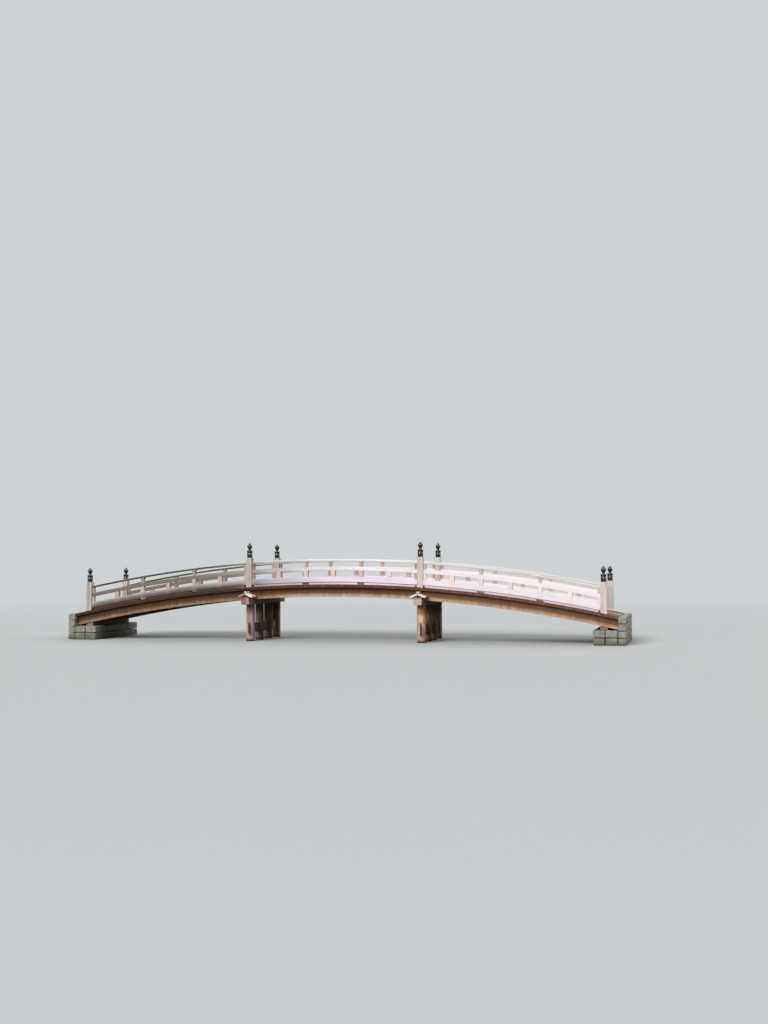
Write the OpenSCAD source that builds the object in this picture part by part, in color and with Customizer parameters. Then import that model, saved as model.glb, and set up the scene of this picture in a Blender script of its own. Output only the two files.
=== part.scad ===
// Arched three-span timber garden bridge on two pile bents, with post-and-rail
// parapets and onion finials. The origin is at water level under the middle of the
// bridge, +X runs along it, +Y away from its front parapet and +Z up. Millimetres.

/* [Arch] */
// Distance between neighbouring main posts, which is one span
span = 6000; // [5000:50:7000]
// Height of the deck over the pile feet at the middle of the bridge
crown_h = 1940; // [1800:10:2200]
// Height of the deck over the pile feet at the end posts
end_h = 1010; // [900:10:1200]
// How far the deck runs on past the end posts
end_run = 450; // [300:10:700]
// Straight lengths that make up the curve of one span
chords = 12; // [8:2:24]

/* [Deck] */
// Distance between the centre lines of the two parapets
gauge = 2870; // [2600:10:3100]
// Thickness of the deck planks
plank_t = 100; // [70:5:130]
// How far the plank ends stand out past the main posts
plank_overhang = 60; // [20:5:90]

/* [Girders] */
// Width of one girder
girder_w = 200; // [150:5:240]
// Depth of one girder
girder_h = 270; // [250:5:320]
// How deep the girders are let into the cap beams
seat_depth = 65; // [40:5:90]

/* [Pile bents] */
// Piles in one bent, with one girder over each
pile_count = 4; // [3:1:4]
// Distance between neighbouring piles
pile_pitch = 900; // [800:10:960]
// Diameter of one pile
pile_d = 300; // [240:10:340]
// Width of the cap beam
cap_w = 285; // [240:5:320]
// Depth of the cap beam
cap_h = 275; // [240:5:340]
// How far the cap beam runs past the outer pile centres
cap_reach = 540; // [440:10:640]

/* [Tie beams] */
// Thickness of the tie beam that passes through the piles
tie_w = 62; // [45:1:90]
// Depth of the tie beam
tie_h = 320; // [200:10:380]
// Height of the tie beam's underside over the pile feet
tie_z = 290; // [150:10:400]
// How far the tie beam runs past the outer pile centres
tie_reach = 340; // [260:10:420]
// Thick end of the wedge driven in over the tie beam
wedge_thick = 45; // [30:1:60]
// Thin end of the wedge
wedge_thin = 20; // [10:1:28]
// How far the wedge stands out of the pile at each side
wedge_reach = 45; // [20:5:60]

/* [Beam end roofs] */
// Half the width that a beam end roof covers
roof_half = 266; // [240:2:340]
// Slope of the roof boards in degrees
roof_slope = 22; // [12:1:24]
// Thickness of the roof boards
roof_board_t = 64; // [30:1:70]
// How far the roof runs past the end of the cap beam
roof_reach = 20; // [0:5:60]
// Gap between the two roof boards under the ridge batten
ridge_gap = 54; // [50:2:62]
// Width of the ridge batten
batten_w = 76; // [66:2:100]
// Height of the ridge batten over the edges of the gap
batten_h = 56; // [24:1:58]

/* [Fascia] */
// Depth of the fascia below the deck planks
fascia_h = 318; // [280:1:350]
// Thickness of the fascia
fascia_t = 40; // [25:1:60]

/* [Abutments] */
// Depth of the timber bed sill under the girder ends
bed_h = 160; // [120:5:200]
// Width of the timber bed sill
bed_w = 240; // [180:5:300]
// How far the stone seat runs out in front of the end posts
seat_front = 350; // [250:10:500]
// Thickness of the back wall behind the girder ends
back_wall_t = 260; // [200:10:400]
// How far the abutment runs past the plank ends at each side
abutment_side = 110; // [60:10:300]

/* [Drain strips and sills] */
// Height of the drain strip that lies under the sill
strip_h = 80; // [60:1:120]
// Width of the drain strip
strip_w = 142; // [110:1:160]
// Length of one drain notch along its open top
notch_l = 280; // [200:5:360]
// Length of the slope at each end of a drain notch
notch_slope = 40; // [20:5:80]
// Depth of one drain notch
notch_h = 52; // [20:1:54]
// How far the drain strip stops short of the main posts
strip_stop = 65; // [30:5:100]
// Width of the sill
sill_w = 180; // [165:1:195]
// Depth of the sill
sill_h = 181; // [150:1:230]

/* [Rails] */
// Clear height between the sill and the middle rail
lower_gap = 208; // [140:1:240]
// Depth of the middle rail
mid_h = 128; // [100:1:150]
// Width of the middle rail
mid_w = 125; // [90:1:150]
// Clear height between the middle rail and the top rail
upper_gap = 185; // [140:1:220]
// Depth of the top rail at its sides
top_side_h = 60; // [45:1:90]
// How much the top rail rises to its ridge
top_crown = 17; // [8:1:40]
// Width of the top rail
top_w = 132; // [110:1:160]

/* [Struts] */
// Width of the struts between the sill and the middle rail
strut_w = 145; // [110:1:165]
// Width of the tall struts above the middle rail
neck_w = 105; // [80:1:120]
// Height of the bearing block under the top rail
block_h = 42; // [25:1:60]
// Width of the bearing block
block_w = 150; // [125:1:180]
// Width along the bridge of the flank struts beside the main posts
flank_w = 88; // [60:1:110]
// Depth across the bridge of the flank struts
flank_d = 112; // [90:1:120]

/* [Main posts and finials] */
// Side of a square main post
post_w = 205; // [198:1:230]
// Height of a main post over the deck
post_h = 1010; // [990:5:1200]
// Chamfer on the four long edges of a main post
post_chamfer = 8; // [3:1:8]
// Diameter of the finial's sleeve
sleeve_d = 182; // [150:1:190]
// Height of the finial's sleeve
sleeve_h = 200; // [140:5:240]
// Height of the flange over the sleeve
flange_h = 62; // [40:1:80]
// How far the flange stands out past the sleeve
flange_out = 12; // [4:1:20]
// Height of the hollow neck under the onion
neck_h = 56; // [30:1:80]
// Diameter of the neck at its thinnest
neck_d = 104; // [80:1:120]
// Largest diameter of the onion
onion_d = 170; // [140:1:190]
// Height of the onion from the neck to its tip
onion_h = 207; // [170:1:260]

/* [Hidden] */

// Sides and ends of the bridge, as signs along Y and X
front = -1;
back = 1;
left = -1;
right = 1;
// The three spans, counted from the middle one
spans = [-1, 0, 1];

// Clearances: a timber in its housing, a beam end in its cut-out, a fascia butt joint
housing_gap = 2;
cutout_gap = 6;
butt_gap = 6;
// Cuts run this far past the faces that they open
past = 10;
// Stations nearer to each other than this are one
same = 0.01;

// Arch: one circle through the crown and both end posts, in straight chords
half_length = 1.5 * span;
rise = crown_h - end_h;
arch_r = (pow(half_length, 2) + pow(rise, 2)) / (2 * rise);
chord = span / chords;
deck_end = half_length + end_run;

// Levels of the parapet over the deck
sill_level = strip_h;
sill_top = sill_level + sill_h;
mid_level = sill_top + lower_gap;
mid_top = mid_level + mid_h;
top_level = mid_top + upper_gap;

// Levels below the deck
girder_top = -plank_t;
girder_level = girder_top - girder_h;
fascia_level = girder_top - fascia_h;

// Places across the bridge
pile_rows = [for (i = [0 : pile_count - 1]) (i - (pile_count - 1) / 2) * pile_pitch];
outer_row = pile_rows[pile_count - 1];
fascia_y = outer_row + girder_w / 2;
roof_start = fascia_y + fascia_t;
cap_end = outer_row + cap_reach;
tie_end = outer_row + tie_reach;
deck_w = gauge + post_w + 2 * plank_overhang;

// Pitch of the struts: six equal bays between the faces of two main posts
bay = (span - post_w) / 6;
short_bays = [-2, 0, 2];
tall_bays = [-1, 1];

bent_x = span / 2;
post_places = [-half_length, -bent_x, bent_x, half_length];

// Height of the true circle, and of the chords that follow it, over the pile feet
function circle_z(x) = crown_h - arch_r + sqrt(pow(arch_r, 2) - pow(x, 2));
function chord_z(x, start) =
    let (z0 = circle_z(start), z1 = circle_z(start + chord))
    z0 + (z1 - z0) * (x - start) / chord;
function deck_z(x) = chord_z(x, floor(x / chord) * chord);

// Ends of the chords between two places, with the places themselves
function stations(x0, x1) = concat(
    [x0],
    [for (k = [ceil((x0 + same) / chord) : 1 : floor((x1 - same) / chord)]) k * chord],
    [x1]
);
function along(places, level) = [for (x = places) [x, deck_z(x) + level]];
function reversed(list) = [for (i = [len(list) - 1 : -1 : 0]) list[i]];

cap_top = deck_z(bent_x) + girder_level + seat_depth;
cap_bottom = cap_top - cap_h;
seat_z = deck_z(half_length) + girder_level - bed_h;

// A timber seen from the side, given its lower and upper edges, as wide as the width
module timber(lower, upper, width) {
    rotate([90, 0, 0])
        linear_extrude(height = width, center = true)
            polygon(concat(lower, reversed(upper)));
}

// A timber that follows the arch between two levels over the deck
module arched_bar(x0, x1, low, high, width) {
    places = stations(x0, x1);
    timber(along(places, low), along(places, high), width);
}

// A timber with a flat foot and a top that follows the arch
module under_arch(x0, x1, foot_z, level, width) {
    timber([[x0, foot_z], [x1, foot_z]], along(stations(x0, x1), level), width);
}

// A timber with a foot that follows the arch and a flat top
module over_arch(x0, x1, level, top_z, width) {
    timber(along(stations(x0, x1), level), [[x0, top_z], [x1, top_z]], width);
}

// A bar of one section swept along the arch; the section is given as [y, z] points
module swept_bar(x0, x1, level, section) {
    places = stations(x0, x1);
    n = len(section);
    last = len(places) - 1;
    points = [for (x = places) for (p = section) [x, p[0], deck_z(x) + level + p[1]]];
    sides = [for (i = [0 : last - 1]) for (j = [0 : n - 1])
        [i * n + j, (i + 1) * n + j, (i + 1) * n + (j + 1) % n, i * n + (j + 1) % n]];
    start_face = [for (j = [0 : n - 1]) j];
    end_face = [for (j = [n - 1 : -1 : 0]) last * n + j];
    polyhedron(points = points, faces = concat(sides, [start_face, end_face]));
}

// Everything of one parapet stands on the line of its main posts
module on_parapet(side) {
    translate([0, side * gauge / 2, 0]) children();
}

// Clear run of one span between the faces of its two main posts
function run_start(s) = (s - 0.5) * span + post_w / 2;
function run_end(s) = (s + 0.5) * span - post_w / 2;

// Substructure

// Wedge over the tie beam in the pile of one row, its thick end to the bridge's outside
module wedge(row, width) {
    run = pile_d / 2 + wedge_reach;
    outward = row < 0 ? -run : run;
    translate([0, row, tie_z + tie_h])
        rotate([90, 0, 90])
            linear_extrude(height = width, center = true)
                polygon([
                    [-outward, 0],
                    [outward, 0],
                    [outward, wedge_thick],
                    [-outward, wedge_thin]
                ]);
}

// Mortise for the tie beam and its wedge, loose at the sides and tight above and below
module tie_mortise(row) {
    width = tie_w + 2 * housing_gap;
    translate([-width / 2, row - pile_d, tie_z])
        cube([width, 2 * pile_d, tie_h]);
    wedge(row, width);
}

module piles(end) {
    color("#8f7768")
        translate([end * bent_x, 0, 0])
            for (row = pile_rows)
                difference() {
                    translate([0, row, 0])
                        cylinder(h = cap_bottom, d = pile_d, $fn = 96);
                    tie_mortise(row);
                }
}

module tie_beam(end) {
    color("#6d5a50")
        translate([end * bent_x - tie_w / 2, -tie_end, tie_z])
            cube([tie_w, 2 * tie_end, tie_h]);
}

module tie_wedges(end) {
    color("#a08573")
        translate([end * bent_x, 0, 0])
            for (row = pile_rows)
                wedge(row, tie_w);
}

// Cap beam with the girders let into its top
module cap_beam(end) {
    color("#a98f80")
        difference() {
            translate([end * bent_x - cap_w / 2, -cap_end, cap_bottom])
                cube([cap_w, 2 * cap_end, cap_h]);
            for (row = pile_rows)
                translate([0, row, 0])
                    arched_bar(end * bent_x - cap_w, end * bent_x + cap_w,
                        girder_level, girder_top, girder_w + 2 * housing_gap);
        }
}

// The roof boards lie on the upper edges of the cap beam, square cut at both ends
roof_lean = roof_board_t * sin(roof_slope);
board_up = (cap_w / 2 + roof_lean - ridge_gap / 2) / cos(roof_slope);
board_down = (roof_half - roof_lean - cap_w / 2) / cos(roof_slope);

// Height of the boards' upper face over the cap beam at a distance from its middle
function roof_top(x) = (cap_w / 2 - x) * tan(roof_slope) + roof_board_t / cos(roof_slope);

module roof_board() {
    translate([cap_w / 2, 0])
        rotate(-roof_slope)
            translate([-board_up, 0])
                square([board_up + board_down, roof_board_t]);
}

module roof_boards() {
    roof_board();
    mirror([1, 0]) roof_board();
}

// Ridge batten, hollowed to sit astride the gap on both boards
module ridge_batten() {
    edge = batten_w / 2;
    lip = ridge_gap / 2;
    top = roof_top(lip) + batten_h;
    polygon([
        [-edge, roof_top(edge)],
        [-lip, roof_top(lip)],
        [lip, roof_top(lip)],
        [edge, roof_top(edge)],
        [edge, top],
        [-edge, top]
    ]);
}

// Puts a flat shape over both ends of a cap beam, from the fascia outwards
module over_beam_ends(end) {
    for (side = [front, back])
        translate([end * bent_x, side * (roof_start + cap_end + roof_reach) / 2, cap_top])
            rotate([90, 0, 0])
                linear_extrude(height = cap_end + roof_reach - roof_start, center = true)
                    children();
}

module beam_roofs(end) {
    color("#e6d5c8") over_beam_ends(end) roof_boards();
}

module ridge_battens(end) {
    color("#d3bfb2") over_beam_ends(end) ridge_batten();
}

// Stone abutment: a seat under the girder ends and a back wall behind them
module abutment(end) {
    front_x = end * (half_length - seat_front);
    wall_x = end * deck_end;
    back_x = end * (deck_end + back_wall_t);
    wall_z = deck_z(wall_x);
    color("#8c8a82")
        rotate([90, 0, 0])
            linear_extrude(height = deck_w + 2 * abutment_side, center = true)
                polygon([
                    [front_x, 0],
                    [back_x, 0],
                    [back_x, wall_z],
                    [wall_x, wall_z],
                    [wall_x, seat_z],
                    [front_x, seat_z]
                ]);
}

module bed_sill(end) {
    color("#7d6a5e")
        under_arch(end * half_length - bed_w / 2, end * half_length + bed_w / 2,
            seat_z, girder_level, 2 * fascia_y);
}

// Superstructure

module girders(x0, x1) {
    color("#6e5443")
        for (row = pile_rows)
            translate([0, row, 0])
                arched_bar(x0, x1, girder_level, girder_top, girder_w);
}

module deck(x0, x1) {
    color("#7a6058") arched_bar(x0, x1, girder_top, 0, deck_w);
}

// Fascia hung on the outer girders, cut out around the cap beams and jointed over them
module fascia(side) {
    starts = [-deck_end, -bent_x + butt_gap / 2, bent_x + butt_gap / 2];
    ends = [-bent_x - butt_gap / 2, bent_x - butt_gap / 2, deck_end];
    color("#b48a66")
        difference() {
            for (i = [0 : 2])
                translate([0, side * (fascia_y + fascia_t / 2), 0])
                    arched_bar(starts[i], ends[i], fascia_level, girder_top, fascia_t);
            for (x = [-bent_x, bent_x])
                translate([x - cap_w / 2 - cutout_gap, side * fascia_y - fascia_t - past, 0])
                    cube([cap_w + 2 * cutout_gap, 2 * (fascia_t + past), cap_top + cutout_gap]);
        }
}

// Cut for a drain notch with sloping ends, open at the top of the strip
module drain_notch(x) {
    x0 = x - notch_l / 2;
    x1 = x + notch_l / 2;
    trough = along(stations(x0 + notch_slope, x1 - notch_slope), strip_h - notch_h);
    lower = concat(along([x0], strip_h), trough, along([x1], strip_h));
    timber(lower, along([x0, x1], strip_h + past), strip_w + 2 * past);
}

module drain_strip(side) {
    color("#e9dcd6")
        on_parapet(side)
            for (s = spans)
                difference() {
                    arched_bar(run_start(s) + strip_stop, run_end(s) - strip_stop,
                        0, strip_h, strip_w);
                    for (i = tall_bays)
                        drain_notch(s * span + i * bay);
                }
}

module sills(side) {
    color("#d9d3d8")
        on_parapet(side)
            for (s = spans)
                arched_bar(run_start(s), run_end(s), sill_level, sill_top, sill_w);
}

module mid_rails(side) {
    color("#e2dadb")
        on_parapet(side)
            for (s = spans)
                arched_bar(run_start(s), run_end(s), mid_level, mid_top, mid_w);
}

module top_rails(side) {
    section = [
        [-top_w / 2, 0],
        [top_w / 2, 0],
        [top_w / 2, top_side_h],
        [0, top_side_h + top_crown],
        [-top_w / 2, top_side_h]
    ];
    color("#f2efe8")
        on_parapet(side)
            for (s = spans)
                swept_bar(run_start(s), run_end(s), top_level, section);
}

module short_struts(side) {
    color("#ddcdc6")
        on_parapet(side)
            for (s = spans, i = short_bays)
                strut(s * span + i * bay, sill_top, mid_level, strut_w);
}

module strut(x, low, high, width) {
    arched_bar(x - width / 2, x + width / 2, low, high, width);
}

// Tall struts: a foot below the middle rail, and above it a neck that ends in a bearing block
module tall_struts(side) {
    color("#dccbc3")
        on_parapet(side)
            for (s = spans, i = tall_bays) {
                x = s * span + i * bay;
                strut(x, sill_top, mid_level, strut_w);
                strut(x, mid_top, top_level, neck_w);
                arched_bar(x - block_w / 2, x + block_w / 2,
                    top_level - block_h, top_level, top_w);
            }
}

module flank_struts(side) {
    color("#d8c8c0")
        on_parapet(side)
            for (s = spans)
                for (x0 = [run_start(s), run_end(s) - flank_w]) {
                    arched_bar(x0, x0 + flank_w, sill_top, mid_level, flank_d);
                    arched_bar(x0, x0 + flank_w, mid_top, top_level, flank_d);
                }
}

// Square outline with its four corners cut off
function chamfered_square(half, cut) = [
    [half, cut - half], [half, half - cut], [half - cut, half], [cut - half, half],
    [-half, half - cut], [-half, cut - half], [cut - half, -half], [half - cut, -half]
];

// Square post with chamfered long edges, its foot cut to the slope of the deck
module main_posts(side) {
    color("#d6c4be")
        on_parapet(side)
            for (x = post_places)
                intersection() {
                    over_arch(x - post_w / 2, x + post_w / 2, 0, deck_z(x) + post_h, post_w);
                    translate([x, 0, 0])
                        linear_extrude(height = deck_z(x) + post_h + past)
                            polygon(chamfered_square(post_w / 2, post_chamfer));
                }
}

// Onion outline: a round belly, then an ogee that draws in to the tip
onion_steps = 14;
belly_share = 0.36;
ogee_power = 0.72;
function belly(t) = neck_d / 2 + (onion_d - neck_d) / 2 * sin(90 * t);
function ogee(t) = onion_d / 2 * pow((1 + cos(180 * t)) / 2, ogee_power);
belly_h = onion_h * belly_share;
function onion_outline(base) = concat(
    [for (i = [1 : onion_steps])
        let (t = i / onion_steps) [belly(t), base + belly_h * (1 - cos(90 * t))]],
    [for (i = [1 : onion_steps - 1])
        let (t = i / onion_steps) [ogee(t), base + belly_h + (onion_h - belly_h) * t]]
);

// Flange over the sleeve: a small step, a round bead and a slope up to the neck
flange_steps = 8;
function flange_outline(base) =
    let (r = sleeve_d / 2, bead = flange_h / 3)
    concat(
        [for (i = [0 : flange_steps])
            let (a = 180 * i / flange_steps - 90)
            [r + flange_out * cos(a), base + bead + bead * sin(a)]],
        [[neck_d / 2 + flange_out, base + flange_h]]
    );

module finial() {
    flange_z = sleeve_h;
    neck_z = flange_z + flange_h;
    onion_z = neck_z + neck_h;
    rotate_extrude($fn = 72)
        polygon(concat(
            [[0, 0], [sleeve_d / 2, 0]],
            flange_outline(flange_z),
            [[neck_d / 2, neck_z + flange_out], [neck_d / 2, onion_z]],
            onion_outline(onion_z),
            [[0, onion_z + onion_h]]
        ));
}

module finials(side) {
    color("#2e3330")
        on_parapet(side)
            for (x = post_places)
                translate([x, 0, deck_z(x) + post_h])
                    finial();
}

piles(left);  // left_piles
piles(right);  // right_piles
tie_beam(left);  // left_tie_beam
tie_beam(right);  // right_tie_beam
tie_wedges(left);  // left_tie_wedges
tie_wedges(right);  // right_tie_wedges
cap_beam(left);  // left_cap_beam
cap_beam(right);  // right_cap_beam
beam_roofs(left);  // left_beam_roofs
beam_roofs(right);  // right_beam_roofs
ridge_battens(left);  // left_ridge_battens
ridge_battens(right);  // right_ridge_battens
abutment(left);  // left_abutment
abutment(right);  // right_abutment
bed_sill(left);  // left_bed_sill
bed_sill(right);  // right_bed_sill
girders(-deck_end, -bent_x);  // left_girders
girders(-bent_x, bent_x);  // middle_girders
girders(bent_x, deck_end);  // right_girders
deck(-deck_end, -bent_x);  // left_deck
deck(-bent_x, bent_x);  // middle_deck
deck(bent_x, deck_end);  // right_deck
fascia(front);  // front_fascia
fascia(back);  // back_fascia
drain_strip(front);  // front_drain_strip
drain_strip(back);  // back_drain_strip
sills(front);  // front_sills
sills(back);  // back_sills
mid_rails(front);  // front_mid_rails
mid_rails(back);  // back_mid_rails
top_rails(front);  // front_top_rails
top_rails(back);  // back_top_rails
short_struts(front);  // front_short_struts
short_struts(back);  // back_short_struts
tall_struts(front);  // front_tall_struts
tall_struts(back);  // back_tall_struts
flank_struts(front);  // front_flank_struts
flank_struts(back);  // back_flank_struts
main_posts(front);  // front_main_posts
main_posts(back);  // back_main_posts
finials(front);  // front_finials
finials(back);  // back_finials
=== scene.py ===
import math
import random

import bmesh
import bpy
from mathutils import Matrix, Vector, noise


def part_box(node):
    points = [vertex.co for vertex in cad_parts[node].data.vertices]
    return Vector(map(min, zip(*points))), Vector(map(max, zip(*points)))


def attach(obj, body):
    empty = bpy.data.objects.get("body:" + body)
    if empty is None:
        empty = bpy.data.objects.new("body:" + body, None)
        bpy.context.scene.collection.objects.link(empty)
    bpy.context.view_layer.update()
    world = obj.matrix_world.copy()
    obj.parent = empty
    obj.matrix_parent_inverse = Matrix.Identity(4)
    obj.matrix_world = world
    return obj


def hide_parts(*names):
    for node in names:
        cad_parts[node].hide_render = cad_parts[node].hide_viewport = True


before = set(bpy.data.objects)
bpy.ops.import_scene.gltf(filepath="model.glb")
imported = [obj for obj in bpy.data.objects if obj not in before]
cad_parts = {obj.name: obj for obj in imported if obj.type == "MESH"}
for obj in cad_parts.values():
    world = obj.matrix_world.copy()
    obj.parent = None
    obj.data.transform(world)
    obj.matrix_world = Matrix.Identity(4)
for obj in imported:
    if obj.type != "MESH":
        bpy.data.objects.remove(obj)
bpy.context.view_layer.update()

# Piles. Each bent stands on four round logs with the bark taken off. They split as they dried, and
# a mortise through each log takes the tie beam.
pile_r = 0.150
pile_rings = 64
pile_levels = 30
piles_in_bent = 4
pile_splits = 7
split_steps = 10
log_worn = 0.0025
log_uneven = 0.0022
past_the_log = 1.1
mortise_slack = 0.002
wedge_thin = 0.020


def start_piece():
    """A mesh whose points remember the grain of the wood, the tone of their timber and its sawn ends."""
    mesh = bmesh.new()
    mesh.verts.layers.float_vector.new("grain")
    mesh.verts.layers.float.new("tone")
    mesh.verts.layers.float.new("end")
    return mesh


def skin(mesh, rings, grains, ends, tone):
    """Joins rings of points into one closed skin with a flat face at each end."""
    grain_of = mesh.verts.layers.float_vector["grain"]
    tone_of = mesh.verts.layers.float["tone"]
    end_of = mesh.verts.layers.float["end"]
    rows = []
    for ring, ring_grain, end in zip(rings, grains, ends):
        row = [mesh.verts.new(point) for point in ring]
        for vert, grain in zip(row, ring_grain):
            vert[grain_of] = grain
            vert[tone_of] = tone
            vert[end_of] = end
        rows.append(row)
    for near, far in zip(rows, rows[1:]):
        for i in range(len(near)):
            mesh.faces.new((near[i - 1], near[i], far[i], far[i - 1]))
    mesh.faces.new(rows[0])
    mesh.faces.new(rows[-1])


def turn_out(mesh, name):
    """Turns the mesh into an object of that name."""
    bmesh.ops.recalc_face_normals(mesh, faces=mesh.faces)
    data = bpy.data.meshes.new(name)
    mesh.to_mesh(data)
    mesh.free()
    made = bpy.data.objects.new(name, data)
    bpy.context.scene.collection.objects.link(made)
    return made


def finish_piece(mesh, name, slot, material, *nodes):
    """Turns the mesh into a piece of the bridge that stands for the nodes."""
    piece = turn_out(mesh, name)
    piece.data.materials.append(material)
    piece.data.shade_smooth()
    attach(piece, "root")
    if nodes:
        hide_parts(*nodes)
    return piece


def carve(piece, cutter):
    """Cuts the cutter's mesh out of the piece."""
    tool = turn_out(cutter, "cutter")
    cut = piece.modifiers.new("cut", "BOOLEAN")
    cut.object = tool
    cut.solver = "EXACT"
    seen = bpy.context.evaluated_depsgraph_get()
    shaped = piece.evaluated_get(seen)
    carved = bpy.data.meshes.new_from_object(shaped, preserve_all_data_layers=True, depsgraph=seen)
    piece.modifiers.clear()
    piece.data = carved
    bpy.data.objects.remove(tool)


def ease_edges(piece):
    """Lets the broad faces stay flat and the light roll over the eased edges only."""
    piece.modifiers.new("flat faces", "WEIGHTED_NORMAL")


def paint(red, green, blue):
    """A colour as it looks, on a scale to 255, as the light that a shader works in."""
    levels = [value / 255 for value in (red, green, blue)]
    return [v / 12.92 if v <= 0.04045 else ((v + 0.055) / 1.055) ** 2.4 for v in levels] + [1]


def add(tree, kind, inputs=(), **settings):
    """Adds a shader node, with its settings, and its inputs as values or links."""
    node = tree.nodes.new("ShaderNode" + kind)
    for key, value in settings.items():
        setattr(node, key, value)
    for key, value in dict(inputs).items():
        if isinstance(value, bpy.types.NodeSocket):
            tree.links.new(value, node.inputs[key])
        else:
            node.inputs[key].default_value = value
    return node


def sums(tree, operation, first, second=0):
    return add(tree, "Math", {0: first, 1: second}, operation=operation).outputs[0]


def times(tree, first, *others):
    """The product of some numbers or links."""
    for other in others:
        first = sums(tree, "MULTIPLY", first, other)
    return first


def xyz(tree, vector):
    return add(tree, "SeparateXYZ", {0: vector}).outputs


def stretched(tree, vector, scale):
    return add(tree, "VectorMath", {0: vector, 1: scale}, operation="MULTIPLY").outputs[0]


def spot_of(tree):
    """The point of the bridge that is being painted."""
    return add(tree, "TexCoord").outputs["Object"]


def remembered(tree, name):
    """What the points of a mesh carry: their grain as a vector, their tone or end as a number."""
    return add(tree, "Attribute", attribute_name=name).outputs["Vector" if name == "grain" else "Fac"]


def blotches(tree, vector, waves, detail):
    """Noise with so many waves to the metre."""
    return add(tree, "TexNoise", {"Vector": vector, "Scale": waves, "Detail": detail}).outputs["Fac"]


def drawn_out(tree, grain, along, across, detail=3):
    """Noise with so many waves to the metre along the grain and across it."""
    return blotches(tree, stretched(tree, grain, (along, across, across)), 1, detail)


def fade(tree, value, start, stop, low=0, high=1):
    """Runs smoothly from low to high as the value goes from start to stop."""
    inputs = {"Value": value, "From Min": start, "From Max": stop, "To Min": low, "To Max": high}
    return add(tree, "MapRange", inputs, interpolation_type="SMOOTHSTEP").outputs["Result"]


def lay(tree, mask, under, over):
    """Lays one colour over another where the mask is 1."""
    return add(tree, "Mix", {0: mask, 6: under, 7: over}, data_type="RGBA").outputs[2]


def new_finish(name):
    """A plain material, with its nodes and the shader that they lead to."""
    material = bpy.data.materials.new(name)
    material.use_nodes = True
    return material, material.node_tree, material.node_tree.nodes["Principled BSDF"]


def surface(tree, shader, colour, rough, height, strength, distance):
    """Gives the shader its colour, its roughness and its fine relief."""
    bump = add(tree, "Bump", {"Strength": strength, "Distance": distance, "Height": height})
    for key, value in (("Base Color", colour), ("Roughness", rough), ("Normal", bump.outputs[0])):
        tree.links.new(value, shader.inputs[key])


def wash(material, mask, colour):
    """Lays a colour over the whole finish so far, where the mask is 1."""
    tree = material.node_tree
    base = tree.nodes["Principled BSDF"].inputs["Base Color"]
    tree.links.new(lay(tree, mask, base.links[0].from_socket, colour), base)


def stain(material, colour, *masks):
    """Washes the finish with a colour, as strongly as the product of the masks.

    A mask is a number, a link, or a link and the start, stop, low and high of its fade."""
    tree = material.node_tree
    faded = [fade(tree, *mask) if isinstance(mask, tuple) else mask for mask in masks]
    wash(material, times(tree, *faded), paint(*colour))


def hairlines(tree, grain, waves):
    """Long thin checks that run with the grain, a few beside each other and then none."""
    wander = sums(tree, "SUBTRACT", drawn_out(tree, grain, 0.1, waves, 1), 0.5)
    line = fade(tree, sums(tree, "ABSOLUTE", wander), 0.002, 0.009, 1, 0)
    return times(tree, line, fade(tree, drawn_out(tree, grain, 1.3, 7, 2), 0.50, 0.60))


def spindles(tree, grain, splits):
    """Open splits, widest in their middle and drawn to a point at both ends."""
    inputs = {"Vector": stretched(tree, grain, (1.1, 34, 34)), "Scale": 1}
    away = add(tree, "TexVoronoi", inputs).outputs["Distance"]
    return fade(tree, away, 0.07 * splits, 0.15 * splits, 1, 0)


def star_splits(tree, heart, tone):
    """Checks that open in a sawn end, outwards from the heart of the log."""
    turn = sums(tree, "ARCTAN2", heart[1], heart[2])
    round_the_heart = add(tree, "CombineXYZ", {0: times(tree, turn, 2.6), 1: times(tree, tone, 60)}).outputs[0]
    wander = sums(tree, "SUBTRACT", blotches(tree, round_the_heart, 1, 0), 0.5)
    lines = fade(tree, sums(tree, "ABSOLUTE", wander), 0.004, 0.016, 1, 0)
    squares = [times(tree, part, part) for part in heart[1:3]]
    return times(tree, lines, fade(tree, sums(tree, "SQRT", sums(tree, "ADD", *squares)), 0.02, 0.05))


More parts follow.
